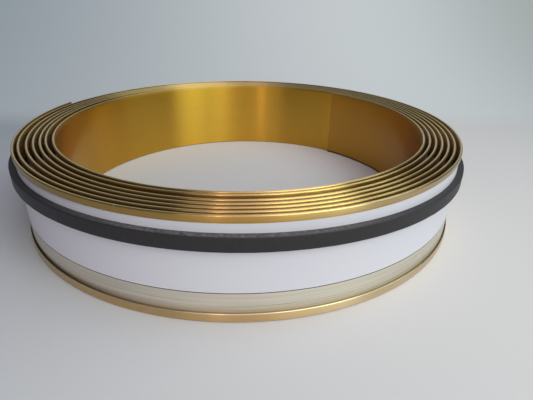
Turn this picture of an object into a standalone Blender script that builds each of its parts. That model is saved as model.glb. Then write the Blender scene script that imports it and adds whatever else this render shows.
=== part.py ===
"""Channel letter coil.

A folded aluminium strip, gold on its inner side and white on its outer side, wound on edge into
an open coil of almost seven turns that lies flat on its lower edge. Its top edge is folded over
into a hem and its bottom edge into an open hook. A foam tape stuck along the white side holds the
turns apart. Metres, +Z up, origin under the middle of the coil at floor level.
"""

import math

import bmesh
import bpy
from mathutils import Vector

# The strip's section, across its width and through its sheet.
STRIP_WIDTH = 0.080
SHEET = 0.0008
HEM_HEIGHT = 0.0048
HEM_THICKNESS = 0.0019
HOOK_HEIGHT = 0.0072
HOOK_SLOT = 0.0008
HOOK_SLOT_FLOOR = 0.0014
EDGE_ROUND = 0.0008
COAT_EDGE_HEIGHT = 0.0231

# The foam tape: its width, its thickness pressed between two turns and free on the outermost one.
FOAM_WIDTH = 0.0108
FOAM_PRESSED = 0.0037
FOAM_FREE = 0.0050
FOAM_BELOW_TOP = 0.0122
FOAM_DRIFT = 0.0016
FOAM_BOW = 0.0019
FOAM_RAMP = 24.0

# The winding, counted from the outer end inwards, anticlockwise as seen from above.
BORE_RADIUS = 0.1694
TURNS = 6.69
OUTER_END_ANGLE = 160.0
FRONT_ANGLE = 270.0
OUT_OF_ROUND = 0.0016
SLACK_SIXTH = 0.0024
SLACK_SEVENTH = 0.0012
SLACK_BEHIND = 0.0024
BULGE_FIRST = 0.0025
RISE_SECOND = 0.0010
RISE_SIXTH = 0.0008
SHIFT_REACH = 75.0

# Each free end springs outwards: the outer one off the coil, the inner one on to the next turn.
OUTER_END_LIFT = 0.0024
INNER_END_PRESS = 0.0022
END_REACH = 60.0

# Gap between pieces that touch, and the steps of the winding.
SEAT = 0.0003
STEPS_PER_TURN = 40

PITCH = SHEET + SEAT + FOAM_PRESSED + SEAT
FRONT_TRAVEL = FRONT_ANGLE - OUTER_END_ANGLE
LEFT_TRAVEL = 185.0 - OUTER_END_ANGLE
BACK_TRAVEL = 450.0 - OUTER_END_ANGLE


def near(travel, centre, depth):
    """A shift of one turn near one place, easing off on both sides of it."""
    away = abs(travel - centre) / SHIFT_REACH
    if away >= 1.0:
        return 0.0
    return depth * 0.5 * (1.0 + math.cos(math.pi * away))


def spring(away, reach, rise):
    """How far a free end springs outwards, this many degrees from it."""
    if away >= reach:
        return 0.0
    return rise * (1.0 - max(away, 0.0) / reach) ** 2


def web_radius(travel):
    """Radius of the strip's inner face after that many degrees from the outer end."""
    angle = math.radians(OUTER_END_ANGLE + travel)
    radius = BORE_RADIUS + PITCH * (TURNS - travel / 360.0)
    radius += OUT_OF_ROUND * math.cos(2.0 * angle)
    radius -= near(travel, FRONT_TRAVEL + 5 * 360.0, SLACK_SIXTH)
    radius -= near(travel, FRONT_TRAVEL + 6 * 360.0, SLACK_SEVENTH)
    radius -= near(travel, FRONT_TRAVEL + 5.6 * 360.0, SLACK_BEHIND)
    radius += near(travel, BACK_TRAVEL, BULGE_FIRST)
    radius += near(travel, LEFT_TRAVEL + 360.0, RISE_SECOND)
    radius += near(travel, LEFT_TRAVEL + 5 * 360.0, RISE_SIXTH)
    radius += spring(travel, 0.5 * END_REACH, OUTER_END_LIFT)
    radius += spring(TURNS * 360.0 - travel, END_REACH, INNER_END_PRESS)
    return radius


def strip_section(travel):
    """The strip's closed outline, as (outwards from the inner face, height), from the web's foot
    round the hook, up the white side and over the hem."""
    hook = SHEET + HOOK_SLOT + SHEET
    top = STRIP_WIDTH
    hem_foot = top - HEM_HEIGHT
    r = EDGE_ROUND
    return [
        (0.0, 1.4 * r),
        (0.45 * r, 0.35 * r),
        (1.2 * r, 0.0),
        (hook - 1.2 * r, 0.0),
        (hook - 0.3 * r, 0.35 * r),
        (hook, 1.3 * r),
        (hook, HOOK_HEIGHT),
        (hook - SHEET, HOOK_HEIGHT),
        (hook - SHEET, HOOK_SLOT_FLOOR),
        (SHEET, HOOK_SLOT_FLOOR),
        (SHEET, COAT_EDGE_HEIGHT),
        (SHEET, hem_foot),
        (HEM_THICKNESS, hem_foot),
        (HEM_THICKNESS, top - r),
        (HEM_THICKNESS - 0.6 * r, top),
        (0.6 * r, top),
        (0.0, top - r),
    ]


def foam_thickness(travel):
    """Pressed to the space that the next turn out leaves it, and free where no turn covers it."""
    covered = max(travel, 360.0)
    space = web_radius(covered - 360.0) - web_radius(covered) - SHEET
    pressed = min(FOAM_FREE, space - 2.0 * SEAT)
    share = min(1.0, (covered - travel) / FOAM_RAMP)
    return pressed + (FOAM_FREE - pressed) * share


def foam_section(travel):
    """The tape's outline on the white side. It wanders a little down the strip as it goes."""
    near = SHEET + SEAT
    far = near + foam_thickness(travel)
    along = math.radians(min(travel - FRONT_TRAVEL, 90.0))
    top = STRIP_WIDTH - FOAM_BELOW_TOP - FOAM_DRIFT * along - FOAM_BOW * along * along
    foot = top - FOAM_WIDTH
    return [(near, foot), (far, foot), (far, top), (near, top)]


def place(travel, point):
    """A point of a section put at its place on the winding."""
    angle = math.radians(OUTER_END_ANGLE + travel)
    radius = web_radius(travel) + point[0]
    return Vector((radius * math.cos(angle), radius * math.sin(angle), point[1]))


def ring_at(travel, section):
    """The section's points there. Between two steps they lie on the chord, as the turn next to
    them does, so that a short last step keeps its gaps."""
    step = 360.0 / STEPS_PER_TURN
    before = step * math.floor(travel / step + 1e-6)
    share = (travel - before) / step
    points = [place(before, point) for point in section(before)]
    if share < 1e-5:
        return points
    after = [place(before + step, point) for point in section(before + step)]
    return [a.lerp(b, share) for a, b in zip(points, after)]


def travels():
    """Degrees of winding at each step, with a short last step where the turns are not whole."""
    step = 360.0 / STEPS_PER_TURN
    end = TURNS * 360.0
    count = math.ceil(end / step - 1e-6)
    return [min(i * step, end) for i in range(count + 1)]


def wind(name, section, slots):
    """Loft a section along the winding: rings of points, a band of faces between each two, and
    a cap at each end. Each side of the section has its material slot."""
    bm = bmesh.new()
    rings = []
    for travel in travels():
        rings.append([bm.verts.new(point) for point in ring_at(travel, section)])
    sides = len(rings[0])
    for ring, following in zip(rings, rings[1:]):
        for i in range(sides):
            j = (i + 1) % sides
            face = bm.faces.new((ring[i], ring[j], following[j], following[i]))
            face.material_index = slots[i]
    bm.faces.new(rings[0])
    bm.faces.new(list(reversed(rings[-1])))
    bmesh.ops.recalc_face_normals(bm, faces=bm.faces[:])
    mesh = bpy.data.meshes.new(name)
    bm.to_mesh(mesh)
    bm.free()
    mesh.shade_smooth()
    mesh.set_sharp_from_angle(angle=math.radians(32.0))
    obj = bpy.data.objects.new(name, mesh)
    bpy.context.scene.collection.objects.link(obj)
    return obj


def material(name, colour, roughness, metallic):
    """A Principled material with a plain colour."""
    mat = bpy.data.materials.new(name)
    mat.use_nodes = True
    shader = mat.node_tree.nodes["Principled BSDF"]
    shader.inputs["Base Color"].default_value = (*colour, 1.0)
    shader.inputs["Roughness"].default_value = roughness
    shader.inputs["Metallic"].default_value = metallic
    return mat


def centre_on_floor(objects):
    """Move the coil so that the origin lies under the middle of its outline."""
    points = [v.co for obj in objects for v in obj.data.vertices]
    middle_x = (min(p.x for p in points) + max(p.x for p in points)) / 2.0
    middle_y = (min(p.y for p in points) + max(p.y for p in points)) / 2.0
    for obj in objects:
        obj.location = (-middle_x, -middle_y, 0.0)


def main():
    for obj in list(bpy.data.objects):
        bpy.data.objects.remove(obj)

    gold, bare, white = 0, 1, 2
    side_slots = [gold] * 17
    side_slots[8] = bare
    side_slots[9] = bare
    side_slots[10] = white
    strip = wind("aluminium_strip", strip_section, side_slots)
    strip.data.materials.append(material("gold_anodised", (0.42, 0.25, 0.045), 0.28, 1.0))
    strip.data.materials.append(material("bare_brushed", (0.50, 0.47, 0.42), 0.38, 1.0))
    strip.data.materials.append(material("white_coat", (0.62, 0.60, 0.65), 0.40, 0.0))

    foam = wind("foam_tape", foam_section, [0] * 4)
    foam.data.materials.append(material("black_foam", (0.018, 0.017, 0.018), 0.90, 0.0))

    centre_on_floor([strip, foam])


main()
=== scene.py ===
"""Channel letter coil, dressed for a studio picture.

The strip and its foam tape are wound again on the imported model's own spiral, finely enough to show
the rolled folds of the edges, and get their finishes: gold anodised aluminium, white coat, bare
brushed aluminium and black foam. The stage is a pale floor that curves up into a backdrop.
"""

import math

import bpy
from mathutils import Matrix, Vector


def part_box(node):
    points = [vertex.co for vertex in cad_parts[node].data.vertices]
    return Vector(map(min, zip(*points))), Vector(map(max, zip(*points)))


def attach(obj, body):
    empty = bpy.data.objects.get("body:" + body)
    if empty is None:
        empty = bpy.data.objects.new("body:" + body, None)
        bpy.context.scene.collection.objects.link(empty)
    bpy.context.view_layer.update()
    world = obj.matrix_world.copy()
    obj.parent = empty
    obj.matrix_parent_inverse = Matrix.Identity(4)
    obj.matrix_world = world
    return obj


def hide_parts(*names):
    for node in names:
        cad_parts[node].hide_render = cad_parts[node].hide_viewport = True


bl_info = {
    "name": "Channel letter coil",
    "version": (1, 0, 0),
    "blender": (4, 5, 0),
    "location": "3D View > Sidebar > Coil",
    "description": "Winds a folded aluminium strip and its foam tape and sets them on a stage",
    "category": "Object",
}

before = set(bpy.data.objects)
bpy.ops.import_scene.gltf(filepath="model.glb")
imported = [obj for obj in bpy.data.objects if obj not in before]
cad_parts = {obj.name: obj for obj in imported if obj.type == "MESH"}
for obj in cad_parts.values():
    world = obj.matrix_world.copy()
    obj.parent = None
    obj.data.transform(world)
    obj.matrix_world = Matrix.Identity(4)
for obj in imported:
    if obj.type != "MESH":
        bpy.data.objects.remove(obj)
STRIP_LOW, STRIP_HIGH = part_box("aluminium_strip")
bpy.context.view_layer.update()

# The picture's width in pixels, and the view that the photograph was taken from.
PICTURE_WIDTH = 533
FOCAL_PIXELS = 422.4
CAMERA_AT = (0.00147, -0.4162, 0.19663)
CAMERA_PITCH = 0.4608
CAMERA_YAW = 0.05826
CAMERA_ROLL = 0.01932

# Where the winding's axis stands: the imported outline's middle is the origin, and the bore lies a
# little off it. The finer winding is set in a little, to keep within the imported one's outline.
AXIS_AT = (0.001466, 0.000027, 0.0)
SET_IN = 0.0002

# Where single turns lie off the even spiral: how many circles are added to the angle round the
# coil, that angle in degrees, and how far out the turn lies there. It eases off over the reach.
SHIFTS = (
    (5, 270.0, -0.0024),
    (6, 270.0, -0.0012),
    (6, 126.0, -0.0024),
    (1, 90.0, 0.0025),
    (1, 185.0, 0.0010),
    (5, 185.0, 0.0008),
)
SHIFT_REACH = 75.0

# Each free end springs outwards over so many degrees.
OUTER_END_REACH = 30.0
OUTER_END_LIFT = 0.0024
INNER_END_REACH = 60.0
INNER_END_PRESS = 0.0022

# The tape takes this many degrees to swell where no turn covers it. It drops away from the front
# by a drift and a bow, for each radian round the coil, and stays level from a quarter turn on.
FRONT_ANGLE = 270.0
TAPE_RAMP = 24.0
TAPE_DRIFT = 0.0016
TAPE_BOW = 0.0019
TAPE_LEVEL_FROM = 90.0

# Stretches of the winding with a finish or a painted light or shade of their own, in degrees of
# winding to the inner end. At each edge the finish comes in from the first place to the second.
STRETCHES = {
    "shaded inner end": ((75.0, 50.0),),
    "foot shadow": ((46.0, 40.0),),
    "shaded gap behind": ((2025.0, 2070.0), (2200.0, 2160.0)),
    "front right": ((2300.0, 2265.0), (2120.0, 2160.0)),
    "nick": ((2321.08, 2321.16), (2321.36, 2321.28)),
    "hem shadow left": ((2315.0, 2350.0),),
    "turned away": ((2308.0, 2352.0),),
    "lit front": ((2345.0, 2310.0), (2262.0, 2288.0)),
}

# The backdrop's floor runs from in front of the camera to where it curves up, and lies a hair
# below the coil's foot so that their faces don't meet.
FLOOR_FROM = -4.0
CURVE_FROM = 0.26
CURVE_RADIUS = 0.9
BACKDROP_HALF_WIDTH = 5.0
FLOOR_GAP = 0.0002
WINDOW_TINT = "#EDFFF8"


class COIL_PG_winding(bpy.types.PropertyGroup):
    """How the strip is wound, counted from its outer end inwards."""

    bore_radius: bpy.props.FloatProperty(
        name="Bore radius",
        description="Radius of the inner face at the inner end, before it springs out",
        default=0.1694,
        unit="LENGTH",
    )
    turns: bpy.props.FloatProperty(
        name="Turns", description="Turns from the outer end to the inner end", default=6.69
    )
    pitch: bpy.props.FloatProperty(
        name="Pitch",
        description="How much further in each turn lies than the one before",
        default=0.0051,
        unit="LENGTH",
    )
    start_angle: bpy.props.FloatProperty(
        name="Outer end",
        description="Where the outer end is, anticlockwise from +X",
        default=math.radians(160.0),
        subtype="ANGLE",
    )
    out_of_round: bpy.props.FloatProperty(
        name="Out of round",
        description="How far the coil spreads sideways and closes front to back",
        default=0.0016,
        unit="LENGTH",
    )
    steps: bpy.props.IntProperty(
        name="Steps", description="Points of the winding's path in one turn", default=200
    )


class COIL_PG_section(bpy.types.PropertyGroup):
    """The folded strip's section."""

    width: bpy.props.FloatProperty(
        name="Width",
        description="Height of the strip as it stands on its edge",
        default=STRIP_HIGH.z - STRIP_LOW.z,
        unit="LENGTH",
    )
    sheet: bpy.props.FloatProperty(
        name="Sheet", description="Thickness of the sheet", default=0.0008, unit="LENGTH"
    )
    hem_height: bpy.props.FloatProperty(
        name="Hem height", description="Width of the closed top fold", default=0.0048, unit="LENGTH"
    )
    hem_thickness: bpy.props.FloatProperty(
        name="Hem thickness", description="Thickness of the closed fold", default=0.0019, unit="LENGTH"
    )
    hem_corner: bpy.props.FloatProperty(
        name="Hem corner",
        description="Radius of the tight inner corner at the top of the fold",
        default=0.00035,
        unit="LENGTH",
    )
    hook_height: bpy.props.FloatProperty(
        name="Hook height", description="Height of the open bottom fold", default=0.0072, unit="LENGTH"
    )
    hook_slot: bpy.props.FloatProperty(
        name="Hook slot", description="Open slot between the hook and the strip", default=0.0008,
        unit="LENGTH",
    )
    coat_edge: bpy.props.FloatProperty(
        name="Coat edge",
        description="Height at which the white coat stops and bare metal begins",
        default=0.0231,
        unit="LENGTH",
    )


class COIL_PG_foam(bpy.types.PropertyGroup):
    """The foam tape on the white side."""

    width: bpy.props.FloatProperty(
        name="Width", description="Width of the tape", default=0.0108, unit="LENGTH"
    )
    free: bpy.props.FloatProperty(
        name="Free thickness", description="Thickness where nothing presses it", default=0.0050,
        unit="LENGTH",
    )
    below_top: bpy.props.FloatProperty(
        name="Below the top",
        description="From the strip's top edge to the tape, at the front",
        default=0.0122,
        unit="LENGTH",
    )
    seat: bpy.props.FloatProperty(
        name="Seat", description="Gap to the strip on both sides", default=0.0003, unit="LENGTH"
    )


class COIL_PG_finish(bpy.types.PropertyGroup):
    """Colours of the strip and the tape, as they are written in sRGB."""

    gold: bpy.props.StringProperty(
        name="Gold", description="Anodised inner side and folds, as sRGB hex", default="#D4A537"
    )
    coat: bpy.props.StringProperty(
        name="Coat", description="White coat of the outer side, as sRGB hex", default="#D4D1D9"
    )
    bare: bpy.props.StringProperty(
        name="Bare metal", description="Brushed band along the foot, as sRGB hex", default="#DCD3C4"
    )
    foam: bpy.props.StringProperty(
        name="Foam", description="Black foam tape, as sRGB hex", default="#1C191B"
    )


class COIL_PG_stage(bpy.types.PropertyGroup):
    """Floor, backdrop and lamps."""

    floor: bpy.props.StringProperty(
        name="Floor", description="Floor and backdrop, as sRGB hex", default="#D3CFCF"
    )
    key_power: bpy.props.FloatProperty(
        name="Window", description="Power of the tall soft lamp at the front right", default=14.8,
        unit="POWER",
    )
    sky: bpy.props.FloatProperty(
        name="Room light", description="Strength of the light from all round", default=0.16
    )


def sizes():
    """The winding's, section's and tape's sizes as the panel has them."""
    scene = bpy.context.scene
    return scene.coil_winding, scene.coil_section, scene.coil_foam


def spring(away, reach, rise):
    """How far a free end springs outwards, this many degrees from it."""
    return rise * (1.0 - max(away, 0.0) / reach) ** 2 if away < reach else 0.0


def face_radius(travel):
    """Radius of the strip's inner face after that many degrees from the outer end."""
    coil, _, _ = sizes()
    angle = coil.start_angle + math.radians(travel)
    radius = coil.bore_radius + coil.pitch * (coil.turns - travel / 360.0)
    radius += coil.out_of_round * math.cos(2.0 * angle)
    for circles, place, depth in SHIFTS:
        centre = place - math.degrees(coil.start_angle) + circles * 360.0
        away = abs(travel - centre) / SHIFT_REACH
        if away < 1.0:
            radius += depth * 0.5 * (1.0 + math.cos(math.pi * away))
    radius += spring(travel, OUTER_END_REACH, OUTER_END_LIFT)
    radius += spring(coil.turns * 360.0 - travel, INNER_END_REACH, INNER_END_PRESS)
    return radius - SET_IN


def tape_thickness(travel):
    """Pressed to the space that the next turn out leaves it, and free where none covers it."""
    _, section, foam = sizes()
    covered = max(travel, 360.0)
    space = face_radius(covered - 360.0) - face_radius(covered) - section.sheet
    pressed = min(foam.free, space - 2.0 * foam.seat)
    share = min(1.0, (covered - travel) / TAPE_RAMP)
    return pressed + (foam.free - pressed) * share


def tape_middle(travel):
    """Height of the tape's middle, which drops away from the front to both sides."""
    coil, section, foam = sizes()
    front = FRONT_ANGLE - math.degrees(coil.start_angle)
    along = math.radians(min(travel - front, TAPE_LEVEL_FROM))
    top = section.width - foam.below_top - TAPE_DRIFT * along - TAPE_BOW * along * along
    return top - foam.width / 2.0


def path_object(name, height, thickness):
    """The winding as a chain of points, each with its length from the outer end, its degrees to
    the inner end, the direction outwards and the thickness there."""
    coil, _, _ = sizes()
    end = coil.turns * 360.0
    count = math.ceil(coil.turns * coil.steps)
    travels = [end * i / count for i in range(count + 1)]
    points = []
    outward = []
    for travel in travels:
        angle = coil.start_angle + math.radians(travel)
        away = Vector((math.cos(angle), math.sin(angle), 0.0))
        points.append(Vector(AXIS_AT) + away * face_radius(travel) + Vector((0.0, 0.0, height(travel))))
        outward.extend(away)
    along = [0.0]
    for a, b in zip(points, points[1:]):
        along.append(along[-1] + (b - a).length)
    mesh = bpy.data.meshes.new(name)
    mesh.from_pydata(points, [(i, i + 1) for i in range(count)], [])
    mesh.attributes.new("outward", "FLOAT_VECTOR", "POINT").data.foreach_set("vector", outward)
    numbers = {
        "along": along,
        "to_end": [end - travel for travel in travels],
        "thickness": [thickness(travel) for travel in travels],
    }
    for key, values in numbers.items():
        mesh.attributes.new(key, "FLOAT", "POINT").data.foreach_set("value", values)
    return link(bpy.data.objects.new(name, mesh))


def link(obj):
    """Put an object in the scene."""
    bpy.context.scene.collection.objects.link(obj)
    return obj


def arc(centre, radius, start, end, count):
    """Points of an arc, angles in degrees."""
    steps = [math.radians(start + (end - start) * i / count) for i in range(count + 1)]
    return [(centre[0] + radius * math.cos(a), centre[1] + radius * math.sin(a)) for a in steps]


def section_object(name, outline):
    """A section as a ring of points (outwards, up). The sweep turns its second axis down."""
    mesh = bpy.data.meshes.new(name)
    count = len(outline)
    edges = [(i, (i + 1) % count) for i in range(count)]
    mesh.from_pydata([(x, -z, 0.0) for x, z in outline], edges, [])
    for axis, key in enumerate(("out", "up")):
        places = [point[axis] for point in outline]
        mesh.attributes.new(key, "FLOAT", "POINT").data.foreach_set("value", places)
    return link(bpy.data.objects.new(name, mesh))


def strip_outline():
    """Section of the folded strip: open hook at the foot, hem with its slit at the top. Rings of
    points close above and below the coat edge and the hem keep the lines there sharp."""
    _, s, _ = sizes()
    t = s.sheet
    top = s.width
    edge = s.coat_edge
    hook = 2.0 * t + s.hook_slot
    bend = hook / 2.0
    cut_round = 0.4 * t
    points = arc((bend, bend), bend, 180.0, 360.0, 12)
    points += arc((hook - cut_round, s.hook_height - cut_round), cut_round, 0.0, 90.0, 3)
    points += arc((hook - t + cut_round, s.hook_height - cut_round), cut_round, 90.0, 180.0, 3)
    points += arc((bend, bend), s.hook_slot / 2.0, 360.0, 180.0, 6)
    points += [(t, s.hook_height), (t, edge - 0.0009), (t, edge), (t, edge + 0.0009)]
    foot = top - s.hem_height
    crown = s.hem_thickness / 2.0
    slit = s.hem_thickness - t
    points += [(t, foot - 0.001), (t, top - crown), (slit, top - crown), (slit, foot + cut_round)]
    points += arc((s.hem_thickness - 0.5 * t, foot + cut_round), cut_round, 225.0, 360.0, 4)
    points += arc((crown, top - crown), crown, 0.0, 90.0, 6)
    r = s.hem_corner
    points += arc((r, top - r - 0.00006), r, 80.0, 180.0, 6)
    points += [(0.0, top - 0.5 * s.hem_height), (0.0, foot), (0.0, foot - 0.001)]
    return points


def tape_outline():
    """Section of the tape, with its cut corners a little rounded, centred on its height."""
    _, s, f = sizes()
    near = s.sheet + f.seat
    far = near + f.free
    half = f.width / 2.0
    r = 0.0006
    edge = [near + share * f.free for share in (0.0, 0.3, 0.65)]
    points = [(x, -half) for x in edge]
    points += arc((far - r, r - half), r, 270.0, 360.0, 4)
    points += [(far, -half * 0.5), (far, 0.0), (far, half * 0.5)]
    points += arc((far - r, half - r), r, 0.0, 90.0, 4)
    points += [(x, half) for x in reversed(edge)]
    return points


def fill(tree, node, inputs):
    """Fill a node's inputs with values, or link them to sockets."""
    for key, value in inputs.items():
        socket = node.inputs[key]
        if isinstance(value, bpy.types.NodeSocket):
            tree.links.new(value, socket)
        else:
            socket.default_value = value


def new_node(tree, kind, settings=None, inputs=None, at=(0, 0)):
    """Add a node, set its properties and fill its inputs."""
    node = tree.nodes.new(kind)
    node.location = at
    for key, value in (settings or {}).items():
        setattr(node, key, value)
    fill(tree, node, inputs or {})
    return node


def linear(hex_colour):
    """An sRGB hex colour as linear RGBA."""
    parts = [int(hex_colour[i : i + 2], 16) / 255.0 for i in (1, 3, 5)]
    parts = [c / 12.92 if c <= 0.04045 else ((c + 0.055) / 1.055) ** 2.4 for c in parts]
    return (*parts, 1.0)


def sweep_tree():
    """Sweeps a section along the winding, squeezes it to its thickness, roughens it, and gives
    each face the material of the side it is on."""
    tree = bpy.data.node_groups.new("Wind a section", "GeometryNodeTree")
    for name, kind, default in (
        ("Path", "Geometry", None),
        ("Section", "Object", None),
        ("Full thickness", "Float", 1.0),
        ("Roughen", "Float", 0.0),
        ("Roughen size", "Float", 400.0),
        ("Sheet", "Float", 0.0008),
        ("Coat edge", "Float", 1.0),
        ("Hem foot", "Float", 1.0),
        ("Main", "Material", None),
        ("Coated", "Material", None),
        ("Bare", "Material", None),
    ):
        socket = tree.interface.new_socket(name, in_out="INPUT", socket_type="NodeSocket" + kind)
        if default is not None:
            socket.default_value = default
    tree.interface.new_socket("Geometry", in_out="OUTPUT", socket_type="NodeSocketGeometry")

    given = new_node(tree, "NodeGroupInput", at=(-1400, 0)).outputs
    section = new_node(tree, "GeometryNodeObjectInfo", {}, {"Object": given["Section"]}, (-1200, -200))
    ring = new_node(
        tree, "GeometryNodeMeshToCurve", {}, {"Mesh": section.outputs["Geometry"]}, (-1000, -200)
    )
    path = new_node(tree, "GeometryNodeMeshToCurve", {}, {"Mesh": given["Path"]}, (-1200, 100))
    level = new_node(
        tree, "GeometryNodeSetCurveNormal", {"mode": "Z_UP"}, {"Curve": path.outputs["Curve"]},
        (-1000, 100),
    )
    swept = new_node(
        tree, "GeometryNodeCurveToMesh", {},
        {
            "Curve": level.outputs["Curve"],
            "Profile Curve": ring.outputs["Curve"],
            "Fill Caps": True,
        },
        (-800, 100),
    )
    noise = new_node(
        tree, "ShaderNodeTexNoise", {"noise_dimensions": "3D"},
        {"Scale": given["Roughen size"], "Detail": 3.0, "Roughness": 0.6}, (-1200, -1150),
    )

    # What the sums below start from: the tree's inputs, what the path and the section store, the
    # noise, and whether a face is on the sheet's outer side.
    values = {
        name: given[name] for name in ("Full thickness", "Roughen", "Sheet", "Coat edge", "Hem foot")
    }
    for i, name in enumerate(("out", "up", "outward", "thickness")):
        kind = "FLOAT_VECTOR" if name == "outward" else "FLOAT"
        values[name] = new_node(
            tree, "GeometryNodeInputNamedAttribute", {"data_type": kind}, {"Name": name},
            (-1400, -500 - 150 * i),
        ).outputs["Attribute"]
    values["noise"] = noise.outputs[0]
    values["on side"] = new_node(
        tree, "FunctionNodeCompare", {"data_type": "FLOAT", "operation": "EQUAL"},
        {0: values["out"], 1: given["Sheet"], "Epsilon": 0.00005}, (-1200, -1350),
    ).outputs[0]

    # A point goes inwards by its share of what the full thickness lacks, and in or out by the
    # same share of the noise. The coat covers the outer side from the coat edge to the hem.
    for i, (name, operation, *operands) in enumerate((
        ("past sheet", "SUBTRACT", "out", "Sheet"),
        ("beyond", "MAXIMUM", "past sheet", 0.0),
        ("share", "DIVIDE", "beyond", "Full thickness"),
        ("lack", "SUBTRACT", "thickness", "Full thickness"),
        ("squeeze", "MULTIPLY", "share", "lack"),
        ("signed noise", "SUBTRACT", "noise", 0.5),
        ("roughness", "MULTIPLY", "signed noise", "Roughen"),
        ("push", "MULTIPLY", "roughness", "share"),
        ("shift", "ADD", "squeeze", "push"),
        ("above", "GREATER_THAN", "up", "Coat edge"),
        ("below", "LESS_THAN", "up", "Hem foot"),
        ("between", "MULTIPLY", "above", "below"),
        ("coated", "MULTIPLY", "between", "on side"),
        ("under", "SUBTRACT", 1.0, "above"),
        ("bare", "MULTIPLY", "under", "on side"),
    )):
        a, b = (values.get(operand, operand) for operand in operands)
        values[name] = new_node(
            tree, "ShaderNodeMath", {"operation": operation}, {0: a, 1: b},
            (-1000 + 150 * (i % 9), -500 - 200 * (i // 9)),
        ).outputs[0]

    offset = new_node(
        tree, "ShaderNodeVectorMath", {"operation": "SCALE"},
        {0: values["outward"], "Scale": values["shift"]}, (-600, -250),
    )
    shape = new_node(
        tree, "GeometryNodeSetPosition", {},
        {"Geometry": swept.outputs["Mesh"], "Offset": offset.outputs[0]}, (-400, 100),
    ).outputs["Geometry"]
    sides = (("Main", True), ("Coated", values["coated"]), ("Bare", values["bare"]))
    for i, (name, selection) in enumerate(sides):
        shape = new_node(
            tree, "GeometryNodeSetMaterial", {},
            {"Geometry": shape, "Selection": selection, "Material": given[name]}, (200 * i, 100),
        ).outputs["Geometry"]
    real = new_node(tree, "GeometryNodeRealizeInstances", {}, {"Geometry": shape}, (600, 100))
    new_node(tree, "NodeGroupOutput", {}, {"Geometry": real.outputs["Geometry"]}, (800, 100))
    return tree


def wind(name, path, section, values, sharp):
    """Run the sweep and keep its result as a plain mesh."""
    tree = bpy.data.node_groups.get("Wind a section") or sweep_tree()
    modifier = path.modifiers.new("Wind", "NODES")
    modifier.node_group = tree
    identifiers = {
        item.name: item.identifier
        for item in tree.interface.items_tree
        if item.item_type == "SOCKET" and item.in_out == "INPUT"
    }
    for key, value in {"Section": section, **values}.items():
        modifier[identifiers[key]] = value
    bpy.context.view_layer.update()
    graph = bpy.context.evaluated_depsgraph_get()
    mesh = bpy.data.meshes.new_from_object(path.evaluated_get(graph), depsgraph=graph)
    mesh.name = name
    path.modifiers.remove(modifier)
    bpy.data.objects.remove(section)
    bpy.data.objects.remove(path)
    mesh.shade_smooth()
    mesh.set_sharp_from_angle(angle=math.radians(sharp))
    return link(bpy.data.objects.new(name, mesh))


def new_material(name):
    """An empty material with its shader and output, and the tree to build it in."""
    mat = bpy.data.materials.new(name)
    mat.use_nodes = True
    tree = mat.node_tree
    tree.nodes.clear()
    shader = new_node(tree, "ShaderNodeBsdfPrincipled", at=(200, 0))
    new_node(tree, "ShaderNodeOutputMaterial", {}, {"Surface": shader.outputs[0]}, (500, 0))
    return mat, tree, shader


def stored(tree, names, at):
    """Values that the sweep stored on the points: a socket for each name."""
    return [
        new_node(
            tree, "ShaderNodeAttribute", {"attribute_name": name}, {}, (at[0], at[1] + 200 * i)
        ).outputs["Fac"]
        for i, name in enumerate(names)
    ]


def strip_streaks(tree, long_mm, fine_mm, detail, at):
    """Noise drawn out along the strip: long_mm along it and fine_mm across it."""
    x, y = at
    along, up = stored(tree, ("along", "up"), (x - 600, y - 200))
    where = new_node(tree, "ShaderNodeCombineXYZ", {}, {"X": along, "Y": up}, (x - 400, y))
    scaled = new_node(
        tree, "ShaderNodeMapping", {},
        {"Vector": where.outputs[0], "Scale": (1000.0 / long_mm, 1000.0 / fine_mm, 1.0)},
        (x - 200, y),
    )
    return new_node(
        tree, "ShaderNodeTexNoise", {},
        {"Vector": scaled.outputs[0], "Scale": 1.0, "Detail": detail, "Roughness": 0.6}, at,
    ).outputs[0]


def ramp(tree, value, low, high, at, start=0.3, end=0.7):
    """Low up to a pattern's start, high from its end, and in proportion between them."""
    return new_node(
        tree, "ShaderNodeMapRange", {},
        {"Value": value, "From Min": start, "From Max": end, "To Min": low, "To Max": high}, at,
    ).outputs[0]


def stretch(to_end, name):
    """The edges of a stretch of the winding, for a patch."""
    return [(to_end, start, full) for start, full in STRETCHES[name]]


def patch(tree, edges, share, at):
    """How strong a finish is on a patch: its share, inside all the edges. Each edge is a value
    and the two places between which the finish comes in smoothly."""
    x, y = at
    strength = share
    for i, (value, start, full) in enumerate(edges):
        strength = new_node(
            tree, "ShaderNodeMapRange", {"interpolation_type": "SMOOTHSTEP"},
            {"Value": value, "From Min": start, "From Max": full, "To Min": 0.0, "To Max": strength},
            (x + 150 * i, y + 250 * i),
        ).outputs[0]
    return strength


def blend(tree, share, first, second, at):
    """Mix two colours, each a socket or an sRGB hex. Sockets 6 and 7 of a Mix are its colours."""
    first = linear(first) if isinstance(first, str) else first
    second = linear(second) if isinstance(second, str) else second
    return new_node(
        tree, "ShaderNodeMix", {"data_type": "RGBA", "blend_type": "MIX"},
        {0: share, 6: first, 7: second}, at,
    ).outputs[2]


def paint(tree, base, layers, at):
    """Lay colours over a base in turn. Each layer has its patch's edges, its share and colour."""
    x, y = at
    for i, (edges, share, colour) in enumerate(layers):
        mask = patch(tree, edges, share, (x + 300 * i, y + 250))
        base = blend(tree, mask, base, colour, (x + 300 * i, y))
    return base


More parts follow.
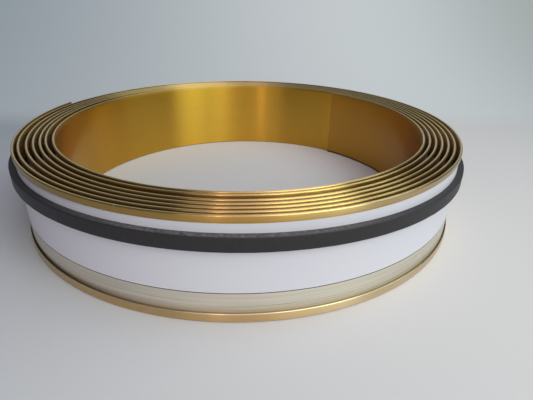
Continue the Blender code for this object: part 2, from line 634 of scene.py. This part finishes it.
def rolled_finish(tree, shader, lines, smear, depth):
    """The strip's lay: lamps smear across it, and its rolling lines run along it."""
    tangent = new_node(
        tree, "ShaderNodeTangent", {"direction_type": "RADIAL", "axis": "Z"}, {}, (-100, -500)
    )
    bump = new_node(
        tree, "ShaderNodeBump", {}, {"Height": lines, "Strength": depth, "Distance": 0.0002},
        (0, -350),
    )
    fill(tree, shader, {
        "Anisotropic": smear,
        "Anisotropic Rotation": 0.25,
        "Tangent": tangent.outputs[0],
        "Normal": bump.outputs[0],
    })


def gold_anodised():
    """Gold anodised aluminium, roll-formed: a soft satin metal whose rolling lines run along the
    strip, so that lamps smear across it from edge to edge. Where the fold stretched the dyed film
    it is crazed and rougher, which makes the hem's inner side and the folds' outer leaves paler; on
    the hem's inner side that pale band is also a painted highlight, and the leaves' extra paleness
    at the front right is painted light. On the fold itself the film is broken to a matt khaki,
    with one small bright nick. The stretch by the free inner end is painted darker as shade, with
    a painted contact shadow along its foot, and painted shade lies in the gap behind the outermost
    turn's top. The hook's top edge carries a painted highlight."""
    finish = bpy.context.scene.coil_finish
    _, section, _ = sizes()
    mat, tree, shader = new_material("gold_anodised_aluminium")
    fine = strip_streaks(tree, 90.0, 0.5, 3.0, (-500, 0))
    broad = strip_streaks(tree, 260.0, 9.0, 2.0, (-500, -400))
    out, up, to_end = stored(tree, ("out", "up", "to_end"), (-1500, 600))
    sheet, top, hook = section.sheet, section.width, section.hook_height

    inside = (out, 0.0006, 0.0004)
    outer_leaf = (out, sheet + 0.0002, sheet + 0.0004)
    bend = (up, top - 0.0011, top - 0.0003)
    upper_half = (up, 0.3 * top, 0.5 * top)
    # Crazed film: rougher and paler; its pale colour is partly a painted highlight along the hem's
    # inner top.
    crazed = [inside, (up, top - 0.0036, top - 0.0031)]
    crown = [bend, (out, 0.0013, 0.0009), (out, 0.0, 0.0002)]
    # Painted highlight along the hook's top edge.
    lip_highlight = [outer_leaf, (up, hook - 0.0009, hook - 0.0004), (up, hook + 0.0002, hook + 0.0001)]
    # Painted contact shadow along the foot by the free inner end.
    foot = [(up, 0.0026, 0.0016), *stretch(to_end, "foot shadow")]
    # Painted shade on the outermost turn's inner side, just below its top, where it stands off behind.
    gap = [inside, (up, top - 0.00015, top - 0.0004), *stretch(to_end, "shaded gap behind")]
    nick = [bend, *stretch(to_end, "nick")]

    # Painted light: the outer leaves are paler at the front right, where the lamps fall.
    paler = patch(tree, stretch(to_end, "front right"), 0.7, (-1100, 1400))
    hem_leaf = blend(tree, paler, "#CCA25A", "#E6D1A6", (-700, 1200))
    hook_leaf = blend(tree, paler, "#DCBB8A", "#F0DFC4", (-700, 1400))
    leaf = blend(tree, patch(tree, [upper_half], 1.0, (-700, 1600)), hook_leaf, hem_leaf, (-500, 1200))
    film = blend(tree, ramp(tree, broad, 0.0, 0.10, (-500, 300)), finish.gold, "#B98A2B", (-300, 300))
    tint = paint(tree, film, (
        # Painted shade: the stretch by the free inner end is darker.
        (stretch(to_end, "shaded inner end"), 0.55, "#9A6F2E"),
        (foot, 0.85, "#2E2418"),
        (crazed, 0.32, "#D6B878"),
        (gap, 0.75, "#4A4128"),
        ([outer_leaf], 0.8, leaf),
        ([bend], 0.30, "#E6D09C"),
        (lip_highlight, 0.72, "#FAEAC0"),
        (crown, 0.85, "#EAD3A4"),
        (nick, 1.0, "#FFF6E0"),
    ), (-300, 600))

    satin = ramp(tree, fine, 0.29, 0.33, (-300, -150))
    metal = new_node(
        tree, "ShaderNodeMath", {"operation": "SUBTRACT"},
        {0: 1.0, 1: patch(tree, crown, 0.42, (-500, 2000))}, (0, 200),
    )
    rough = new_node(
        tree, "ShaderNodeMath", {"operation": "ADD"},
        {0: satin, 1: patch(tree, crazed, 0.17, (-500, -900))}, (0, -150),
    )
    # The clear film covers all but the fold, where it is broken.
    whole = (patch(tree, [bend], 1.0, (-500, -1200)), 0.6, 0.0)
    fill(tree, shader, {
        "Base Color": tint,
        "Metallic": metal.outputs[0],
        "Roughness": rough.outputs[0],
        "Coat Weight": patch(tree, [whole], 0.3, (-300, -1200)),
        "Coat Roughness": 0.2,
        "Coat IOR": 1.6,
    })
    rolled_finish(tree, shader, fine, 1.0, 0.06)
    return mat


def white_coat():
    """White coil coating on aluminium: an even, slightly violet white with a low sheen, and a
    painted shadow under the hem at the left."""
    finish = bpy.context.scene.coil_finish
    _, section, _ = sizes()
    mat, tree, shader = new_material("white_coil_coating")
    broad = strip_streaks(tree, 300.0, 25.0, 2.0, (-500, 0))
    up, to_end = stored(tree, ("up", "to_end"), (-900, 400))
    foot = section.width - section.hem_height
    # Painted shadow under the hem on the left side.
    hem_shadow = [(up, foot - 0.0045, foot - 0.0003), *stretch(to_end, "hem shadow left")]
    even = blend(tree, ramp(tree, broad, 0.0, 0.08, (-250, 0)), finish.coat, "#B9B6C2", (-100, 100))
    fill(tree, shader, {
        "Base Color": paint(tree, even, ((hem_shadow, 0.75, "#5C5650"),), (50, 200)),
        "Roughness": 0.42,
        "IOR": 1.5,
    })
    return mat


def bare_brushed():
    """Bare brushed aluminium: fine long scratches along the strip, more of them towards its foot,
    a dark line where the coat stops, painted darker at the left as shade, and a painted warm
    reflection of the gold fold just above the hook, with painted shade making it brown and wide at
    the left where that side faces away from the lamps."""
    finish = bpy.context.scene.coil_finish
    _, section, _ = sizes()
    mat, tree, shader = new_material("bare_brushed_aluminium")
    fine = strip_streaks(tree, 120.0, 0.35, 2.0, (-500, 0))
    broad = strip_streaks(tree, 260.0, 2.2, 3.0, (-500, -400))
    up, to_end = stored(tree, ("up", "to_end"), (-1100, 500))
    hook, edge = section.hook_height, section.coat_edge
    away = stretch(to_end, "turned away")

    soft = blend(tree, ramp(tree, broad, 0.0, 0.35, (-250, 0)), finish.bare, "#BDB6A8", (-100, 100))
    scratches = ramp(tree, fine, 0.0, 0.8, (-300, 200), 0.54, 0.64)
    metal = paint(tree, soft, (
        ([(up, edge + 0.002, hook + 0.003)], scratches, "#7E776A"),
        # Painted warm reflection of the gold fold just above the hook.
        ([(up, hook + 0.0070, hook + 0.0005)], 0.55, "#B89F74"),
        # Painted shade: brown and wide at the left, where the side faces away from the lamps.
        ([(up, hook + 0.0048, hook + 0.0010), *away], 0.9, "#5A452A"),
    ), (-100, 400))
    # The seam line is painted darker at the left, as shade.
    line = blend(tree, patch(tree, away, 1.0, (-500, 1000)), "#3A362F", "#14120F", (-300, 1000))
    seam = ramp(tree, up, 0.0, 1.0, (-600, 1200), edge - 0.0007, edge - 0.0005)
    fill(tree, shader, {
        "Base Color": blend(tree, seam, metal, line, (900, 400)),
        "Metallic": 0.6,
        "Roughness": ramp(tree, broad, 0.40, 0.52, (-100, -150)),
    })
    rolled_finish(tree, shader, fine, 0.7, 0.12)
    return mat


def black_foam():
    """Black closed-cell foam, cut into tape: a smooth dark skin with a low sheen on its face, and
    mottled cut cells of about a millimetre on its edges. Along the front the cut edges are lighter
    and greyer, as painted light where the lamps catch them."""
    finish = bpy.context.scene.coil_finish
    _, section, foam = sizes()
    mat, tree, shader = new_material("black_closed_cell_foam")
    place = new_node(tree, "ShaderNodeTexCoord", {}, {}, (-1100, 0)).outputs["Object"]
    out, to_end = stored(tree, ("out", "to_end"), (-1100, 400))
    face = section.sheet + foam.seat + foam.free
    cells = new_node(
        tree, "ShaderNodeTexVoronoi", {"feature": "F1"}, {"Vector": place, "Scale": 1100.0},
        (-800, 0),
    ).outputs["Distance"]
    blotch = new_node(
        tree, "ShaderNodeTexNoise", {},
        {"Vector": place, "Scale": 420.0, "Detail": 4.0, "Roughness": 0.7}, (-800, -300),
    ).outputs[0]

    cut = patch(tree, [(out, face - 0.0001, face - 0.0009)], 1.0, (-800, 400))
    # Painted light: the cut edges are lighter along the front.
    lit_front_share = patch(tree, stretch(to_end, "lit front"), 1.0, (-800, 600))
    skin = blend(tree, ramp(tree, blotch, 0.0, 0.5, (-500, -100)), finish.foam, "#272427", (-250, 100))
    lit_cut_edges = blend(tree, lit_front_share, "#2A292B", "#6E6566", (-500, 400))
    sliced = blend(tree, ramp(tree, blotch, 0.0, 1.0, (-500, 200)), "#1E1E1F", lit_cut_edges, (-250, 300))
    pitted = new_node(
        tree, "ShaderNodeBump", {}, {"Height": cells, "Strength": 0.35, "Distance": 0.0005},
        (-100, -300),
    ).outputs[0]
    uneven = new_node(
        tree, "ShaderNodeBump", {},
        {"Height": blotch, "Strength": 0.4, "Distance": 0.0007, "Normal": pitted}, (50, -300),
    ).outputs[0]
    fill(tree, shader, {
        "Base Color": blend(tree, cut, skin, sliced, (0, 200)),
        "Roughness": 0.52,
        "Specular IOR Level": 0.5,
        "IOR": 1.5,
        "Normal": uneven,
    })
    return mat


class COIL_OT_wind_strip(bpy.types.Operator):
    """Wind the folded aluminium strip"""

    bl_idname = "coil.wind_strip"
    bl_label = "Wind the strip"

    def execute(self, context):
        _, section, _ = sizes()
        path = path_object("strip_path", lambda travel: 0.0, lambda travel: 1.0)
        ring = section_object("strip_section", strip_outline())
        strip = wind(
            "wound_strip", path, ring,
            {
                "Full thickness": 1.0,
                "Roughen": 0.0,
                "Sheet": section.sheet,
                "Coat edge": section.coat_edge,
                "Hem foot": section.width - section.hem_height,
                "Main": gold_anodised(),
                "Coated": white_coat(),
                "Bare": bare_brushed(),
            },
            32.0,
        )
        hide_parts("aluminium_strip")
        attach(strip, "root")
        return {"FINISHED"}


class COIL_OT_lay_tape(bpy.types.Operator):
    """Lay the foam tape along the strip's white side"""

    bl_idname = "coil.lay_tape"
    bl_label = "Lay the foam tape"

    def execute(self, context):
        _, section, foam = sizes()
        path = path_object("tape_path", tape_middle, tape_thickness)
        ring = section_object("tape_section", tape_outline())
        tape = wind(
            "laid_foam_tape", path, ring,
            {
                "Full thickness": foam.free,
                "Roughen": 0.0005,
                "Roughen size": 260.0,
                "Sheet": section.sheet + foam.seat,
                "Main": black_foam(),
                # The side that is stuck to the strip has no material.
                "Coated": None,
                "Bare": None,
            },
            40.0,
        )
        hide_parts("foam_tape")
        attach(tape, "root")
        return {"FINISHED"}


class COIL_OT_set_stage(bpy.types.Operator):
    """Set the floor, the backdrop, the lamps and the camera"""

    bl_idname = "coil.set_stage"
    bl_label = "Set the stage"

    def execute(self, context):
        build_stage(context.scene)
        return {"FINISHED"}


class COIL_PT_panel(bpy.types.Panel):
    """Sizes and finishes of the coil"""

    bl_idname = "COIL_PT_panel"
    bl_label = "Channel letter coil"
    bl_space_type = "VIEW_3D"
    bl_region_type = "UI"
    bl_category = "Coil"

    def draw(self, context):
        layout = self.layout
        for key in GROUPS:
            group = getattr(context.scene, key)
            box = layout.box()
            for name in group.bl_rna.properties.keys():
                if name not in {"rna_type", "name"}:
                    box.prop(group, name)
        layout.operator("coil.wind_strip")
        layout.operator("coil.lay_tape")
        layout.operator("coil.set_stage")


def backdrop_material():
    """Matte paper, with painted shade: darker and greyer to both sides and bluer on the left, where the
    light falls off.
    """
    stage = bpy.context.scene.coil_stage
    mat, tree, shader = new_material("matte_backdrop_paper")
    place = new_node(tree, "ShaderNodeTexCoord", {}, {}, (-1100, 0)).outputs["Object"]
    x, y, _ = new_node(tree, "ShaderNodeSeparateXYZ", {}, {0: place}, (-900, 0)).outputs
    # Painted shade: the paper darkens towards the left and the right.
    left = patch(tree, [(x, 0.25, -0.75)], 1.0, (-650, 200))
    right = patch(tree, [(x, 0.25, 0.85)], 0.72, (-650, 0))
    behind = patch(tree, [(y, 0.22, 0.34)], 1.0, (-650, -200))
    floor = blend(tree, left, stage.floor, "#8B98A5", (-350, 200))
    floor = blend(tree, right, floor, "#A3A7AC", (-150, 200))
    wall = blend(tree, left, "#D8DADB", "#B5BFC5", (-350, 0))
    wall = blend(tree, right, wall, "#9A9F9D", (-150, 0))
    fill(tree, shader, {
        "Base Color": blend(tree, behind, floor, wall, (50, 100)),
        "Roughness": 0.9,
        "Specular IOR Level": 0.15,
    })
    return mat


def add_lamp(name, at, aim, size_x, size_y, power, colour):
    """A soft rectangular lamp, turned towards what it is aimed at."""
    data = bpy.data.lights.new(name, "AREA")
    data.shape = "RECTANGLE"
    data.size = size_x
    data.size_y = size_y
    data.energy = power
    data.color = linear(colour)[:3]
    obj = link(bpy.data.objects.new(name, data))
    obj.location = at
    obj.rotation_euler = (Vector(aim) - Vector(at)).to_track_quat("-Z", "Y").to_euler()


def add_backdrop():
    """Floor and backdrop in one sweep: level under the coil and curved up behind it."""
    curve = arc((CURVE_FROM, CURVE_RADIUS), CURVE_RADIUS, -90.0, -33.75, 15)
    half = BACKDROP_HALF_WIDTH
    verts = []
    faces = []
    for i, (y, z) in enumerate([(FLOOR_FROM, 0.0), *curve]):
        verts += [(-half, y, z - FLOOR_GAP), (half, y, z - FLOOR_GAP)]
        if i:
            faces.append((2 * i - 2, 2 * i - 1, 2 * i + 1, 2 * i))
    mesh = bpy.data.meshes.new("backdrop_sweep")
    mesh.from_pydata(verts, [], faces)
    mesh.shade_smooth()
    mesh.materials.append(backdrop_material())
    sweep = link(bpy.data.objects.new("backdrop_sweep", mesh))


def aim_camera(scene):
    """The camera stands where the photograph was taken from, pitched, turned and tilted so."""
    camera = bpy.data.cameras.new("camera")
    camera.sensor_fit = "HORIZONTAL"
    camera.sensor_width = 36.0
    camera.lens = camera.sensor_width * FOCAL_PIXELS / PICTURE_WIDTH
    forward = Vector((
        math.sin(CAMERA_YAW) * math.cos(CAMERA_PITCH),
        math.cos(CAMERA_YAW) * math.cos(CAMERA_PITCH),
        -math.sin(CAMERA_PITCH),
    ))
    right = Vector((math.cos(CAMERA_YAW), -math.sin(CAMERA_YAW), 0.0))
    up = right.cross(forward)
    tilted = right * math.cos(CAMERA_ROLL) + up * math.sin(CAMERA_ROLL)
    upright = up * math.cos(CAMERA_ROLL) - right * math.sin(CAMERA_ROLL)
    turn = Matrix((tilted, upright, -forward)).transposed().to_4x4()
    obj = link(bpy.data.objects.new("camera", camera))
    obj.matrix_world = Matrix.Translation(CAMERA_AT) @ turn
    scene.camera = obj


def build_stage(scene):
    """Floor and backdrop, lamps, room light and camera."""
    stage = scene.coil_stage
    add_backdrop()
    middle, behind = (0.0, 0.0, 0.05), (0.0, 0.1, 0.05)
    add_lamp("window", (0.88, -1.18, 1.0), behind, 1.25, 1.2, stage.key_power, WINDOW_TINT)
    add_lamp("bright_pane", (1.02, -1.06, 1.0), behind, 0.45, 1.2, 3.6, WINDOW_TINT)
    add_lamp("skylight", (1.3, 0.1, 1.4), middle, 1.0, 0.8, 6.0, WINDOW_TINT)
    add_lamp("door_gap", (-0.28, -1.38, 0.8), middle, 0.04, 1.2, 1.5, "#FFE2E0")
    add_lamp("front_wall", (0.0, -1.5, 0.8), middle, 1.6, 1.0, 5.7, "#FFF3F2")
    add_lamp("ceiling", (0.55, -0.5, 2.4), (0.0, 0.0, 0.0), 2.0, 1.6, 18.0, "#FFF2FC")

    world = bpy.data.worlds.new("room")
    world.use_nodes = True
    back = world.node_tree.nodes["Background"]
    back.inputs["Color"].default_value = linear("#D2DFF0")
    back.inputs["Strength"].default_value = stage.sky
    scene.world = world
    aim_camera(scene)
    scene.view_settings.view_transform = "Standard"


GROUPS = {
    "coil_winding": COIL_PG_winding,
    "coil_section": COIL_PG_section,
    "coil_foam": COIL_PG_foam,
    "coil_finish": COIL_PG_finish,
    "coil_stage": COIL_PG_stage,
}
CLASSES = (*GROUPS.values(), COIL_OT_wind_strip, COIL_OT_lay_tape, COIL_OT_set_stage, COIL_PT_panel)


def register():
    """Register the classes and hang the sizes on the scene."""
    for cls in CLASSES:
        bpy.utils.register_class(cls)
    for key, cls in GROUPS.items():
        setattr(bpy.types.Scene, key, bpy.props.PointerProperty(type=cls))


def unregister():
    """Take the sizes and the classes away again."""
    for key in GROUPS:
        delattr(bpy.types.Scene, key)
    for cls in reversed(CLASSES):
        bpy.utils.unregister_class(cls)


def main():
    """Dress the coil."""
    register()
    bpy.ops.coil.wind_strip()
    bpy.ops.coil.lay_tape()
    bpy.ops.coil.set_stage()


if __name__ == "__main__":
    main()
